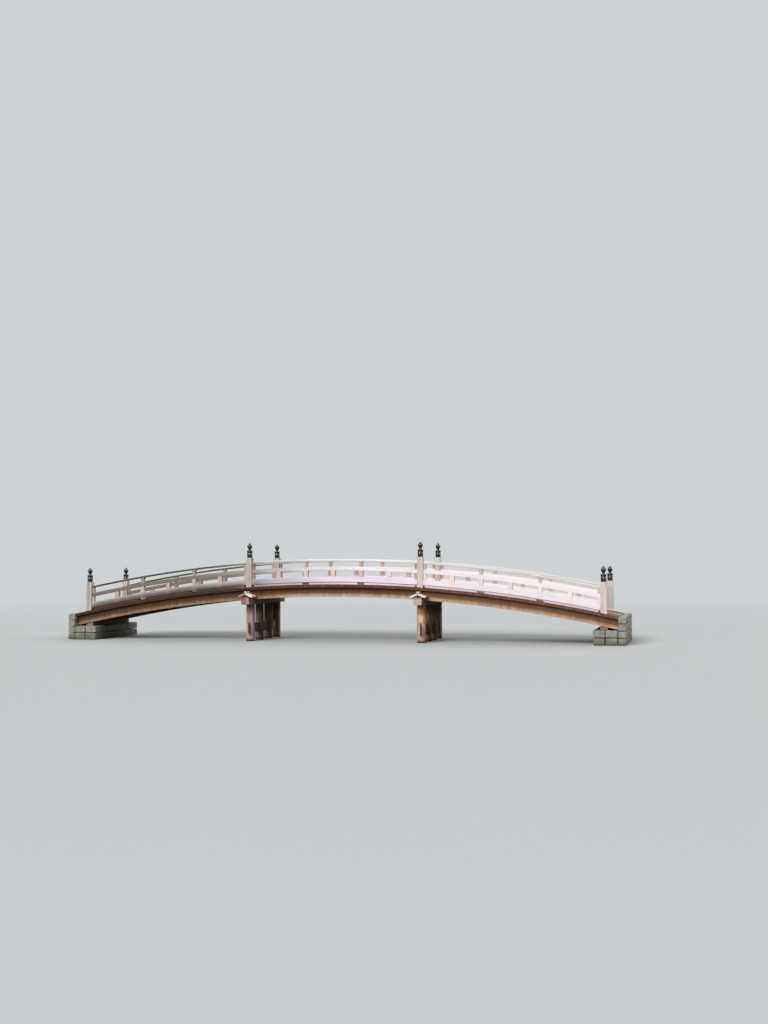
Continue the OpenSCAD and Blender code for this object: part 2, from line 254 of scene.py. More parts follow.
def weathered_wood(name, pale, deep, sawn_end, ring_gap=0.007, splits=0.5, streaks=1.0, sun=0.0, uneven=1.0):
    """Old unpainted timber: growth rings, drawn out streaks, fibres, drying splits and darker ends."""
    material, tree, shader = new_finish(name)
    pale, deep, sawn_end = paint(*pale), paint(*deep), paint(*sawn_end)
    grain, tone, end = [remembered(tree, key) for key in ("grain", "tone", "end")]
    up = facing_of(material)[2]

    broad = fade(tree, drawn_out(tree, grain, 0.7, 8), 0.5 - 0.22 / streaks, 0.5 + 0.22 / streaks)
    fibres = drawn_out(tree, grain, 4, 150, detail=5)
    slow = stretched(tree, grain, (0.25, 1, 1))
    inputs = {"Vector": slow, "Scale": 0.314 / ring_gap, "Distortion": 6, "Detail": 3, "Detail Scale": 0.12}
    rings = add(tree, "TexWave", inputs, wave_type="RINGS", rings_direction="X").outputs["Fac"]
    along_it = sums(tree, "MAXIMUM", hairlines(tree, grain, 48), spindles(tree, grain, splits))
    on_sides = times(tree, along_it, sums(tree, "SUBTRACT", 1, end))
    cracks = sums(tree, "ADD", on_sides, times(tree, star_splits(tree, xyz(tree, grain), tone), end))

    furrow = [value * 0.5 for value in deep[:3]] + [1]
    colour = lay(tree, broad, deep, pale)
    colour = lay(tree, fade(tree, fibres, 0.35, 0.75, 0, 0.45), colour, deep)
    colour = lay(tree, fade(tree, fibres, 0.57, 0.70, 0, 0.45), colour, furrow)
    colour = lay(tree, fade(tree, rings, 0.55, 1, 0, 0.22), colour, deep)
    value = fade(tree, tone, 0, 1, 1 - 0.14 * uneven, 1 + 0.08 * uneven)
    colour = add(tree, "HueSaturation", {"Value": value, "Color": colour}).outputs[0]
    height = sums(tree, "SUBTRACT", times(tree, fibres, 0.6), times(tree, cracks, 1.5))
    height = sums(tree, "ADD", height, times(tree, rings, 0.15))
    surface(tree, shader, colour, fade(tree, fibres, 0.3, 0.7, 0.72, 0.92), height, 0.7, 0.0025)
    shader.inputs["Specular IOR Level"].default_value = 0.3

    # The faces that look down keep the deep colour: partly timber the sun has not bleached, partly painted shade.
    wash(material, fade(tree, up, -0.5, -0.95, 0, 0.6), deep)
    if sun:
        stain(material, (216, 212, 206), (up, 0.5, 0.95, 0, sun))
    wash(material, end, lay(tree, fade(tree, rings, 0.4, 1, 0, 0.4), sawn_end, deep))
    stain(material, (66, 52, 44), cracks, 0.75)
    return material


def place_of(material):
    """Where a point of the bridge is, as x, y and z."""
    return xyz(material.node_tree, spot_of(material.node_tree))


def facing_of(material):
    """Which way a face looks, as x, y and z."""
    return xyz(material.node_tree, add(material.node_tree, "NewGeometry").outputs["Normal"])


def inner_faces(material):
    """1 on the faces that look in under the deck or over it."""
    tree = material.node_tree
    return fade(tree, times(tree, place_of(material)[1], facing_of(material)[1]), -0.4, -1.0)


def ragged(material, value, amount, waves=3.0):
    """The value with an uneven edge to it."""
    tree = material.node_tree
    cloud = sums(tree, "SUBTRACT", blotches(tree, spot_of(tree), waves, 4), 0.5)
    return sums(tree, "ADD", value, times(tree, cloud, amount))


def pile_wood(name, pale, deep, head, foot):
    """Dark and damp at the foot, with painted shade at the head under the cap beam, under the deck and on the
    sides that face inwards.
    """
    material = weathered_wood(name, pale, deep, (120, 96, 80), splits=1.1, streaks=1.4)
    tree = material.node_tree
    x, y, z = place_of(material)
    stain(material, foot, (ragged(material, z, 0.5), 0.30, 0.80, 0.9, 0))
    stain(material, (60, 52, 42), (ragged(material, z, 0.10, 7), 0.02, 0.13, 0.85, 0))
    # Painted shade of the cap beam darkens the head of each log.
    stain(material, head, (ragged(material, z, 0.2), 0.82, 1.02, 0, 0.7))
    # Painted shade on the inner logs under the deck, and on the sides that face inwards.
    painted_deck_shade = fade(tree, sums(tree, "ABSOLUTE", y), 1.05, 1.2, 1, 0)
    stain(material, (46, 34, 27), sums(tree, "MAXIMUM", painted_deck_shade, inner_faces(material)), 0.6)
    return material


def round_about(count):
    """Directions in the level plane, evenly spaced round a full turn."""
    turns = [2 * math.pi * i / count for i in range(count)]
    return [Vector((math.cos(turn), math.sin(turn), 0)) for turn in turns]


def up_by(rise):
    return Vector((0, 0, rise))


def upright_grain(ring, tone, heart=Vector((0, 0, 0))):
    """The grain of a log that grew up from its heart, for a ring of its points."""
    return [(point.z + tone * 9, point.x - heart.x, point.y - heart.y) for point in ring]


def split(cutter, log, angle, foot, length, gap, depth, tone):
    """A drying split that opens in the side of a log, as a wedge that narrows to both ends."""
    rings = []
    for i in range(split_steps + 1):
        share = i / split_steps
        z = foot + length * share
        wide = max(math.sin(math.pi * share), 0.04)
        turn = angle + 0.05 * noise.noise(Vector((z * 2.5, angle * 3, 1.7)))
        out = Vector((math.cos(turn), math.sin(turn), 0))
        side = Vector((-out.y, out.x, 0))
        deepest = out * (pile_r - depth * math.sqrt(wide)) + up_by(z)
        mouth = out * (pile_r + 0.01) + up_by(z)
        rings.append([deepest, mouth + side * gap * wide, mouth - side * gap * wide])
    grains = [upright_grain(ring, tone) for ring in rings]
    skin(cutter, [[log + point for point in ring] for ring in rings], grains, [0] * len(rings), tone)


def pile_rows(pile_low, pile_high):
    """Places of the logs of a bent across the bridge."""
    first, last = pile_low.y + pile_r, pile_high.y - pile_r
    return [first + i * (last - first) / (piles_in_bent - 1) for i in range(piles_in_bent)]


def pile_logs(bent, seed):
    """The four logs of a bent, with their mortises and drying splits."""
    chance = random.Random(seed)
    low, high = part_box(bent + "_piles")
    wedge_low, wedge_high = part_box(bent + "_tie_wedges")
    tie_low, tie_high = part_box(bent + "_tie_beam")
    half = (tie_high.x - tie_low.x) / 2 + mortise_slack
    run = wedge_high.y - high.y + pile_r
    thick = wedge_high.z - wedge_low.z
    logs = start_piece()
    cutter = start_piece()
    for row in pile_rows(low, high):
        tone = chance.random()
        log = Vector(((low.x + high.x) / 2, row, 0))
        rings = []
        for z in (high.z * i / pile_levels for i in range(pile_levels + 1)):
            ring = []
            for out in round_about(pile_rings):
                hollow = noise.noise(Vector((out.x * 1.3 + tone * 7, out.y * 1.3, z * 0.9)))
                ring.append(out * (pile_r - log_worn - log_uneven * hollow) + up_by(z))
            rings.append(ring)
        grains = [upright_grain(ring, tone) for ring in rings]
        skin(logs, [[log + point for point in ring] for ring in rings], grains, [0] * len(rings), tone)

        outward = math.copysign(1, row)
        rings = []
        for y in (-past_the_log * run, past_the_log * run):
            top = tie_high.z + wedge_thin + (thick - wedge_thin) * (outward * y / run + 1) / 2
            ring = [(-half, tie_low.z), (half, tie_low.z), (half, top), (-half, top)]
            rings.append([log + Vector((x, y, z)) for x, z in ring])
        skin(cutter, rings, [upright_grain(ring, tone, log) for ring in rings], [0, 0], tone)

        for i in range(pile_splits):
            angle = 2 * math.pi * (i + 0.6 * chance.random()) / pile_splits
            if abs(math.cos(angle)) < 0.35:
                foot = 0.72 + 0.1 * chance.random()
                length = 0.25 + 0.2 * chance.random()
            else:
                foot = 0.05 + 0.5 * chance.random()
                length = 0.35 + 0.3 * chance.random()
            gap = 0.0015 + 0.0018 * chance.random()
            split(cutter, log, angle, foot, length, gap, 0.02 + 0.02 * chance.random(), tone)
    return logs, cutter


# The third colour given to each is the painted shade at the head of the logs, under the cap beam.
warm_pile = pile_wood("warm pile log", (244, 208, 178), (208, 168, 136), (150, 106, 72), (180, 146, 132))
grey_pile = pile_wood("grey pile log", (198, 172, 162), (162, 137, 127), (124, 98, 90), (170, 146, 138))
for bent, material, seed in (("left", grey_pile, 4), ("right", warm_pile, 9)):
    logs, cutter = pile_logs(bent, seed)
    piece = finish_piece(logs, bent + "_pile_logs", "piles", material, bent + "_piles")
    carve(piece, cutter)
    ease_edges(piece)

# Tie beams. A flat sawn plank on edge passes through the four logs of a bent and holds them
# upright. Its ends stand out of the outer logs, where the weather has worn the arrises round.


def squared(width, depth):
    """Outline of a squared timber, as places across it and up from its underside."""
    return [(-width / 2, 0), (width / 2, 0), (width / 2, depth), (-width / 2, depth)]


def eased(outline, ease, step):
    """The outline with rounded corners, and with points along its sides at about the step."""
    count = len(outline)
    points = []
    for i in range(count):
        before, corner, after = (Vector(outline[(i + k) % count]) for k in (-1, 0, 1))
        ahead = (after - corner).normalized()
        back = (before - corner).normalized() * ease
        on = ahead * ease
        points += [corner + back, corner + (back + on) * 0.29, corner + on]
        flat = (after - corner).length - 2 * ease
        parts = max(1, round(flat / step))
        points += [corner + on + ahead * flat * k / parts for k in range(1, parts)]
    return points


def timber(mesh, outline, cuts, place, chance, ease=0.004, step=0.07, wear=0.0010, pith=(0.02, -0.03)):
    """One sawn timber: its outline carried along the cuts, worn a little, with eased ends.

    place(along, across, up) says where a point of the timber lies on the bridge."""
    section = eased(outline, ease, step)
    centre = sum(section, Vector((0, 0))) / len(section)
    reach = max((point - centre).length for point in section)
    shift = 40 * chance.random()
    core = Vector(pith) + Vector((chance.random(), chance.random())) * 0.02
    stations = [(cuts[0], 1), (cuts[0] + ease, 0)]
    stations += [(cut, 0) for cut in cuts[1:-1] if cuts[0] + 2 * ease < cut < cuts[-1] - 2 * ease]
    stations += [(cuts[-1] - ease, 0), (cuts[-1], 1)]
    rings = []
    grains = []
    for along, end in stations:
        ring = []
        ring_grain = []
        for point in section:
            worn = 0.5 + 0.5 * noise.noise(Vector((along * 2.1 + shift, point.x * 19, point.y * 19)))
            share = 1 - (wear * worn + ease * end) / reach
            across, up = centre + (point - centre) * share
            ring.append(place(along, across, up))
            ring_grain.append((along + shift, across + core.x, up + core.y))
        rings.append(ring)
        grains.append(ring_grain)
    skin(mesh, rings, grains, [end for along, end in stations], chance.random())


def steps_between(start, stop, gap):
    """Places from start to stop, evenly spaced at about the gap."""
    count = max(1, math.ceil((stop - start) / gap))
    return [start + (stop - start) * i / count for i in range(count + 1)]


def both_ends(node, seed):
    """The left and the right one of a pair, each with its chances, its box and its middle."""
    for end, number in (("left", seed), ("right", seed + 1)):
        low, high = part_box(end + "_" + node)
        yield end, random.Random(number), low, high, (low.x + high.x) / 2


def lying_across(middle_x, foot):
    """Places for a timber that lies across the bridge with its underside at a height."""
    return lambda along, across, up: Vector((middle_x + across, along, foot + up))


tie_wood = weathered_wood("tie beam plank", (150, 124, 110), (110, 88, 78), (206, 172, 160))
for bent, chance, low, high, middle_x in both_ends("tie_beam", 21):
    beam = start_piece()
    cuts = steps_between(low.y, high.y, 0.15)
    place = lying_across(middle_x, low.z)
    timber(beam, squared(high.x - low.x, high.z - low.z), cuts, place, chance, ease=0.006)
    ease_edges(finish_piece(beam, bent + "_tie_plank", "bent_timber", tie_wood, bent + "_tie_beam"))

# Tie wedges. An oak wedge is driven in over the tie beam in every mortise, from the outside of
# the bridge inwards, and is bruised at its thick end by the mallet.
wedge_wood = weathered_wood("oak wedge", (182, 150, 126), (138, 106, 86), (176, 146, 124))
for bent, chance, low, high, middle_x in both_ends("tie_wedges", 31):
    pile_low, pile_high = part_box(bent + "_piles")
    reach = high.y - pile_high.y + pile_r
    thick = high.z - low.z
    wedges = start_piece()
    for row in pile_rows(pile_low, pile_high):
        outward = math.copysign(1, row)

        def driven(along, across, up):
            over = wedge_thin + (thick - wedge_thin) * (along / reach + 1) / 2
            return Vector((middle_x + across, row + outward * along, low.z + up * over))

        cuts = steps_between(-reach, reach, 0.05)
        timber(wedges, squared(high.x - low.x, 1), cuts, driven, chance, step=0.5, wear=0.0005)
    ease_edges(finish_piece(wedges, bent + "_wedges", "bent_timber", wedge_wood, bent + "_tie_wedges"))

# Cap beams. One squared timber lies on the heads of the four logs and reaches out past the fascia.
# A housing is cut in its top for each girder, and its sawn ends show the heart of the log.
girder_rows = 4
girder_w = 0.200
housing_slack = 0.002
housing_h = 0.3
cut_through = 0.05

# The deck rises in one arc from end to end. The frame gives its height at the crown and at a bent.
bent_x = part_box("middle_deck")[1].x
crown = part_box("middle_deck")[1].z
arch_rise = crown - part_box("left_deck")[1].z
arch_r = (bent_x ** 2 + arch_rise ** 2) / (2 * arch_rise)


def deck_at(x):
    """Height of the deck over the pile feet."""
    return crown - arch_r + math.sqrt(arch_r ** 2 - x ** 2)


def levels_of(node):
    """Lowest and highest level over the deck of a node that crosses the crown."""
    low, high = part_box(node)
    return low.z - deck_at(high.x), high.z - crown


girder_foot, girder_head = levels_of("middle_girders")
girder_low, girder_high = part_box("middle_girders")
girder_gap = (girder_high.y - girder_low.y - girder_w) / (girder_rows - 1)
girder_places = [girder_low.y + girder_w / 2 + i * girder_gap for i in range(girder_rows)]


def beam_wood(name, pale, deep, sawn_end):
    """The sawn ends have weathered in upright streaks, opened in a star of splits and carry painted shade under
    the roof boards.
    """
    material = weathered_wood(name, pale, deep, sawn_end, ring_gap=0.009, splits=0.9)
    tree = material.node_tree
    x, y, z = place_of(material)
    end = remembered(tree, "end")
    upright = stretched(tree, spot_of(tree), (26, 1, 1))
    stain(material, (116, 86, 82), (blotches(tree, upright, 1, 3), 0.44, 0.62, 0, 0.7), end)
    # Painted shade of the roof boards darkens the top of each sawn end.
    stain(material, (92, 66, 58), (ragged(material, z, 0.04, 8), 1.43, 1.51, 0, 0.75), end)
    left_arris = (ragged(material, x, 0.05, 8), -bent_x - 0.06, -bent_x + 0.04, 0.55, 0)
    stain(material, (88, 60, 50), left_arris, end)
    return material


cap_woods = {
    "left": beam_wood("left cap beam", (150, 126, 114), (108, 86, 74), (180, 150, 142)),
    "right": beam_wood("right cap beam", (160, 130, 112), (112, 86, 72), (214, 184, 176)),
}
for bent, chance, low, high, middle_x in both_ends("cap_beam", 41):
    beam = start_piece()
    cuts = steps_between(low.y, high.y, 0.12)
    place = lying_across(middle_x, low.z)
    timber(beam, squared(high.x - low.x, high.z - low.z), cuts, place, chance, ease=0.009, wear=0.0015)
    piece = finish_piece(beam, bent + "_cap_timber", "bent_timber", cap_woods[bent], bent + "_cap_beam")
    housings = start_piece()
    for row in girder_places:
        near, far = row - girder_w / 2 - housing_slack, row + girder_w / 2 + housing_slack
        rings = []
        for x in (low.x - cut_through, middle_x, high.x + cut_through):
            foot = deck_at(x) + girder_foot
            head = foot + housing_h
            rings.append([Vector((x, y, z)) for y, z in ((near, foot), (far, foot), (far, head), (near, head))])
        grains = [[(point.y, point.x, point.z) for point in ring] for ring in rings]
        skin(housings, rings, grains, [0] * 3, 0.4)
    carve(piece, housings)
    ease_edges(piece)

# Beam end roofs. Two thick boards, nailed to the upper arrises of the cap beam, lean together over
# each of its ends to keep rain out of the end grain. They don't meet: a gap stays at the ridge.
roof_slope = math.radians(22)
roof_board_t = 0.064
ridge_gap = 0.054
roof_nail_in = 0.07
roof_nail_places = (-0.05, -0.01)
nail_r = 0.006
nail_corners = 8
nail_outline = ((-0.002, 1.0), (0.0012, 1.0), (0.0026, 0.7), (0.0032, 0.25))
straight_up = Vector((0, 0, 1))


def nail_head(mesh, point, facing):
    """The low round head of a hand made nail, at a point, with the direction that it faces."""
    turn = facing.to_track_quat("Z", "Y")
    corners = round_about(nail_corners)
    rings = [[point + turn @ (corner * nail_r * wide + up_by(rise)) for corner in corners]
             for rise, wide in nail_outline]
    skin(mesh, rings, [[(0, 0, 0)] * nail_corners] * len(rings), [0] * len(rings), 0.5)


def forged_iron(name):
    """Black iron with rust in the hammer marks."""
    material, tree, shader = new_finish(name)
    marks = blotches(tree, spot_of(tree), 160, 4)
    colour = lay(tree, fade(tree, marks, 0.4, 0.65), paint(54, 48, 46), paint(112, 70, 48))
    surface(tree, shader, colour, fade(tree, marks, 0.3, 0.7, 0.45, 0.85), marks, 0.4, 0.001)
    return material


# On the left bent the outer slope has painted shade, and the one that faces the middle has painted light.
roof_wood = weathered_wood("roof board", (238, 221, 216), (204, 178, 170), (240, 224, 218))
roof_x = place_of(roof_wood)[0]
stain(roof_wood, (128, 104, 88), (roof_x, -bent_x - 0.03, -bent_x, 0.8, 0))
stain(roof_wood, (255, 248, 246), (roof_x, -bent_x, -bent_x + 0.03), (roof_x, -1, 0, 0.6, 0))
iron = forged_iron("forged iron")
fascia_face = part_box("back_fascia")[1].y
roof_nails = start_piece()
for bent, chance, low, high, middle_x in both_ends("beam_roofs", 51):
    cap_low, cap_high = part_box(bent + "_cap_beam")
    half = (cap_high.x - cap_low.x) / 2
    lean = roof_board_t * math.sin(roof_slope)
    up_hill = (half + lean - ridge_gap / 2) / math.cos(roof_slope)
    down_hill = ((high.x - low.x) / 2 - lean - half) / math.cos(roof_slope)
    outline = [(-up_hill, 0), (down_hill, 0), (down_hill, roof_board_t), (-up_hill, roof_board_t)]
    cuts = steps_between(fascia_face, high.y, 0.07)
    boards = start_piece()
    for side in (-1, 1):
        for hand in (-1, 1):

            def on_the_slope(along, across, up):
                out = half + across * math.cos(roof_slope) + up * math.sin(roof_slope)
                rise = up * math.cos(roof_slope) - across * math.sin(roof_slope)
                return Vector((middle_x + hand * out, side * along, cap_high.z + rise))

            timber(boards, outline, cuts, on_the_slope, chance, step=0.05, pith=(0.1, -0.15))
            facing = Vector((hand * math.sin(roof_slope), 0, math.cos(roof_slope)))
            for along in (fascia_face + roof_nail_in, high.y - roof_nail_in):
                for across in roof_nail_places:
                    nail_head(roof_nails, on_the_slope(along, across, roof_board_t), facing)
    ease_edges(finish_piece(boards, bent + "_roof_boards", "roof_boards", roof_wood, bent + "_beam_roofs"))
finish_piece(roof_nails, "roof_nails", "roof_boards", iron)

# Ridge battens. A squared strip sits astride the gap between the two roof boards, hollowed
# underneath to fit both slopes, and is nailed down through its top.
batten_w = 0.076
batten_nail_in = 0.06
batten_nails = start_piece()
for bent, chance, low, high, middle_x in both_ends("ridge_battens", 61):
    cap_low, cap_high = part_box(bent + "_cap_beam")
    half = (cap_high.x - cap_low.x) / 2

    def slope_top(across):
        return (half - across) * math.tan(roof_slope) + roof_board_t / math.cos(roof_slope)

    edge = batten_w / 2
    lip = ridge_gap / 2
    top = high.z - cap_high.z
    hollow = [(-edge, slope_top(edge)), (-lip, slope_top(lip)), (lip, slope_top(lip)), (edge, slope_top(edge))]
    outline = hollow + [(edge, top), (-edge, top)]
    cuts = steps_between(fascia_face, high.y, 0.07)
    battens = start_piece()
    for side in (-1, 1):

        def on_the_ridge(along, across, up):
            return Vector((middle_x + across, side * along, cap_high.z + up))

        timber(battens, outline, cuts, on_the_ridge, chance, ease=0.003, step=0.05, wear=0.0006)
        for along in (cuts[0] + batten_nail_in, cuts[-1] - batten_nail_in):
            nail_head(batten_nails, on_the_ridge(along, 0, top), straight_up)
    ease_edges(finish_piece(battens, bent + "_battens", "roof_boards", roof_wood, bent + "_ridge_battens"))
finish_piece(batten_nails, "batten_nails", "roof_boards", iron)

# Abutments. Dressed blocks of grey stone, laid in courses without mortar, make a seat for the
# girder ends and a wall behind them. They stand level with the pile feet.
course_h = 0.235
stone_l = 0.58
seat_h = 0.480
stone_gap = 0.004
stone_cuts = 9
stone_uneven = 0.05
arris_r = 0.007
pitched_d = 0.005
tooled_d = 0.002


def stone_block(mesh, low, high, chance):
    """A dressed block: round arrises, a pitched face and no two alike."""
    size = high - low - Vector((2, 2, 2)) * stone_gap
    middle = (low + high) / 2
    block = bmesh.new()
    bmesh.ops.create_cube(block, size=1)
    bmesh.ops.subdivide_edges(block, edges=block.edges, cuts=stone_cuts, use_grid_fill=True)
    shift = Vector([50 * chance.random() for k in range(3)])
    tone = chance.random()
    grain_of = mesh.verts.layers.float_vector["grain"]
    tone_of = mesh.verts.layers.float["tone"]
    kept = {}
    for vert in block.verts:
        half = [min(abs(c) * 2, 1) for c in vert.co]
        spot = Vector([c * s for c, s in zip(vert.co, size)])
        edge = sum(h ** 24 for h in half)
        inward = arris_r * max(edge - 1, 0) + pitched_d * (0.5 + 0.5 * noise.noise(spot * 7 + shift))
        inward += tooled_d * (0.5 + 0.5 * noise.noise(spot * 31 + shift))
        spot -= Vector([math.copysign(inward * h ** 12, c) for h, c in zip(half, spot)])
        kept[vert] = mesh.verts.new(spot + middle)
        kept[vert][grain_of] = spot + shift
        kept[vert][tone_of] = tone
    for face in block.faces:
        mesh.faces.new([kept[vert] for vert in face.verts])
    block.free()


def wall_of_stone(mesh, depth_cuts, start_y, stop_y, wall_h, chance):
    """Courses of blocks between two sides, with their upright joints out of line."""
    courses = max(1, round(wall_h / course_h))
    for course in range(courses):
        foot = wall_h * course / courses
        head = wall_h * (course + 1) / courses
        count = round((stop_y - start_y) / stone_l)
        shares = [(i + 0.5 * (course % 2)) / count for i in range(count)]
        inner = [start_y + (stop_y - start_y) * share for share in shares if share > 0]
        joints = [start_y] + [joint + stone_uneven * (chance.random() - 0.5) for joint in inner] + [stop_y]
        for start, stop in zip(joints, joints[1:]):
            for near, far in zip(depth_cuts, depth_cuts[1:]):
                stone_block(mesh, Vector((near, start, foot)), Vector((far, stop, head)), chance)


def dressed_stone(name):
    """Grey granite with darker grains, pale spots on top and a damp, greenish foot."""
    material, tree, shader = new_finish(name)
    grain = remembered(tree, "grain")
    speck = blotches(tree, grain, 190, 3)
    cloud = blotches(tree, grain, 6, 6)
    colour = lay(tree, fade(tree, cloud, 0.3, 0.7), paint(128, 125, 118), paint(164, 160, 150))
    colour = lay(tree, fade(tree, speck, 0.52, 0.66, 0, 0.55), colour, paint(84, 82, 78))
    value = fade(tree, remembered(tree, "tone"), 0, 1, 0.82, 1.1)
    colour = add(tree, "HueSaturation", {"Value": value, "Color": colour}).outputs[0]
    height = sums(tree, "ADD", times(tree, speck, 0.3), cloud)
    surface(tree, shader, colour, fade(tree, cloud, 0.3, 0.7, 0.75, 0.95), height, 0.6, 0.006)
    pale_spots = (blotches(tree, grain, 14, 5), 0.56, 0.66, 0, 0.7)
    stain(material, (176, 180, 160), (facing_of(material)[2], 0.2, 0.9, 0.25, 1), pale_spots)
    stain(material, (74, 80, 54), (ragged(material, place_of(material)[2], 0.3, 5), 0.02, 0.30, 0.7, 0))
    return material


granite = dressed_stone("dressed granite")
for end, hand in (("left", -1), ("right", 1)):
    chance = random.Random(70 + hand)
    low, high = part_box(end + "_abutment")
    wall_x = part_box(end + "_deck")[hand > 0].x
    front_x, back_x = (low.x, high.x)[::hand]
    stones = start_piece()
    seat_cuts = sorted([front_x, (front_x + wall_x) / 2, wall_x])
    wall_of_stone(stones, seat_cuts, low.y, high.y, seat_h, chance)
    wall_of_stone(stones, sorted([wall_x, back_x]), low.y, high.y, high.z, chance)
    finish_piece(stones, end + "_abutment_stones", "abutment_stone", granite, end + "_abutment")

# Bed sills. A squared timber lies on the stone seat of each abutment under the girder ends, its
# top planed to the slope at which the girders come down.
sill_wood = weathered_wood("bed sill", (142, 122, 108), (98, 80, 70), (150, 126, 112), splits=0.9)
for end, chance, low, high, middle_x in both_ends("bed_sill", 81):

    def under_the_girders(along, across, up):
        x = middle_x + across
        return Vector((x, along, low.z + up * (deck_at(x) + girder_foot - low.z)))

    sill = start_piece()
    cuts = steps_between(low.y, high.y, 0.15)
    timber(sill, squared(high.x - low.x, 1), cuts, under_the_girders, chance, ease=0.006, step=0.08)
    ease_edges(finish_piece(sill, end + "_bed_timber", "bent_timber", sill_wood, end + "_bed_sill"))

# Girders. Four arched timbers carry each span. They are hewn to the curve of the deck, drop into the
# housings of the cap beams and butt together over the middle of each bent.
girder_wood = weathered_wood("girder", (150, 122, 98), (104, 80, 62), (140, 110, 92), splits=0.9)
spans = {name: [corner.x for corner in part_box(name + "_deck")] for name in ("left", "middle", "right")}


def along_the_arch(middle_y, level):
    """Places for a timber that follows the deck at a level over it."""
    return lambda along, across, up: Vector((along, middle_y + across, deck_at(along) + level + up))


for name, (start, stop) in spans.items():
    chance = random.Random("girders of the " + name + " span")
    girders = start_piece()
    outline = squared(girder_w, girder_head - girder_foot)
    for row in girder_places:
        place = along_the_arch(row, girder_foot)
        timber(girders, outline, steps_between(start, stop, 0.25), place, chance, ease=0.008)
    piece = finish_piece(girders, name + "_girder_timbers", "girder_timber", girder_wood, name + "_girders")
    ease_edges(piece)

# Deck. Thick planks lie across the girders with narrow gaps that let the rain through. Feet have
# worn them in the middle, and their sawn ends, which show along both sides, have turned dark.
plank_w = 0.150
plank_t = -girder_head
plank_gap = 0.006
plank_trim = 0.004
plank_hollow = 0.002
walkway_w = 2.4
plank_nail_in = 0.055
plank_nail_share = 0.24
nail_sunk = 0.0008


def plank_wood():
    """Worn grey in the middle, darker beside it with dirt and painted shade, with red brown sawn ends that have
    gone black in patches.
    """
    material = weathered_wood(
        "deck plank", (152, 130, 116), (110, 92, 80), (123, 76, 63), ring_gap=0.009, streaks=1.3)
    tree = material.node_tree
    x, y, z = place_of(material)
    from_middle = ragged(material, sums(tree, "ABSOLUTE", y), 0.5)
    stain(material, (184, 166, 150), (from_middle, 0.35, 0.85, 0.45, 0))
    # Darker towards both sides: dirt, and painted shade of the parapets.
    stain(material, (74, 62, 50), (from_middle, 0.6, 1.1, 0, 0.75))
    end = remembered(tree, "end")
    cloud = blotches(tree, spot_of(tree), 5, 2)
    stain(material, (138, 94, 86), end, (cloud, 0.50, 0.66, 0, 0.5))
    stain(material, (88, 54, 42), end, (cloud, 0.5, 0.36, 0, 0.6))
    along = ragged(material, x, 1.5, 0.9)
    # Painted shade over the left span, deepest on the sawn ends, and painted light warming the ends over the
    # right span.
    stain(material, (72, 56, 44), (along, -4.0, -1.2, 0.35, 0))
    stain(material, (58, 42, 32), end, (along, -3.4, -0.8, 0.92, 0))
    stain(material, (138, 92, 82), end, (along, 2.5, 4.5, 0, 0.4))
    return material


plank_material = plank_wood()
deck_nails = start_piece()
for name, (start, stop) in spans.items():
    chance = random.Random("planks of the " + name + " span")
    low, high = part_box(name + "_deck")
    widths = [0.8 + 0.4 * chance.random() for k in range(round((stop - start) / plank_w))]
    edges = [start]
    for width in widths:
        edges.append(edges[-1] + width * (stop - start) / sum(widths))
    planks = start_piece()
    for near, far in zip(edges, edges[1:]):
        middle_x = (near + far) / 2
        trim = plank_trim * chance.random()

        def across_the_girders(along, across, up):
            hollow = plank_hollow * max(0, 1 - (along / (walkway_w / 2)) ** 2) * up / plank_t
            x = middle_x + across
            return Vector((x, along, deck_at(x) - plank_t + up - hollow))

        outline = squared(far - near - plank_gap, plank_t)
        cuts = steps_between(low.y + trim, high.y - plank_trim * chance.random(), 0.2)
        pith = (0.15 * chance.random(), -0.12)
        timber(planks, outline, cuts, across_the_girders, chance, ease=0.006, wear=0.0015, pith=pith)
        for row in girder_places:
            y = row - math.copysign(plank_nail_in, row)
            for share in (-plank_nail_share, plank_nail_share):
                spot = across_the_girders(y, share * (far - near), plank_t) - up_by(nail_sunk)
                nail_head(deck_nails, spot, straight_up)
    ease_edges(finish_piece(planks, name + "_planks", "deck_planks", plank_material, name + "_deck"))
finish_piece(deck_nails, "deck_nails", "deck_planks", iron)

# Fascia. Upright boards, nailed edge to edge to the outer girders, keep rain off their sides. They
# are cut out around the cap beams. They have painted shade under the plank ends and painted light at their feet.
fascia_board_w = 0.320
fascia_uneven = 0.12
fascia_proud = 0.0015
fascia_nail_in = 0.045
fascia_nail_foot = 0.06
fascia_nail_head = 0.05
fascia_nail_sunk = 0.0012
beam_gap = 0.006
butt_gap = 0.006


def over_the_deck(material):
    """How far a point of the bridge is over the top of the deck."""
    tree = material.node_tree
    x, y, z = place_of(material)
    half_chord = sums(tree, "SQRT", sums(tree, "SUBTRACT", arch_r ** 2, times(tree, x, x)))
    return sums(tree, "SUBTRACT", sums(tree, "ADD", z, arch_r - crown), half_chord)


def fascia_wood():
    """Painted shadow of the plank ends at the top, painted light at the foot and painted shade over the left end.
    """
    material = weathered_wood(
        "fascia board", (212, 175, 145), (176, 139, 108), (160, 124, 98), streaks=1.2, uneven=0.4)
    level = ragged(material, over_the_deck(material), 0.06, 4)
    along = ragged(material, place_of(material)[0], 1.5, 0.9)
    # Painted shadow of the overhanging plank ends, darkest just under them; then painted light at the foot and
    # painted shade over the left end.
    stain(material, (90, 56, 19), (level, -0.37, -0.265, 0, 0.9))
    stain(material, (44, 24, 0), (level, -0.255, -0.205, 0, 0.6))
    stain(material, (232, 202, 178), (level, -0.41, -0.345, 0.28, 0))
    stain(material, (66, 42, 20), (along, -2.8, -1.2, 0.55, 0))
    stain(material, (148, 110, 88), (along, 1.5, 4.5, 0, 0.25))
    return material


def both_sides(words):
    """The front and the back one of a pair, each with its chances."""
    for side, hand in (("front", -1), ("back", 1)):
        yield side, hand, random.Random(words + " of the " + side)


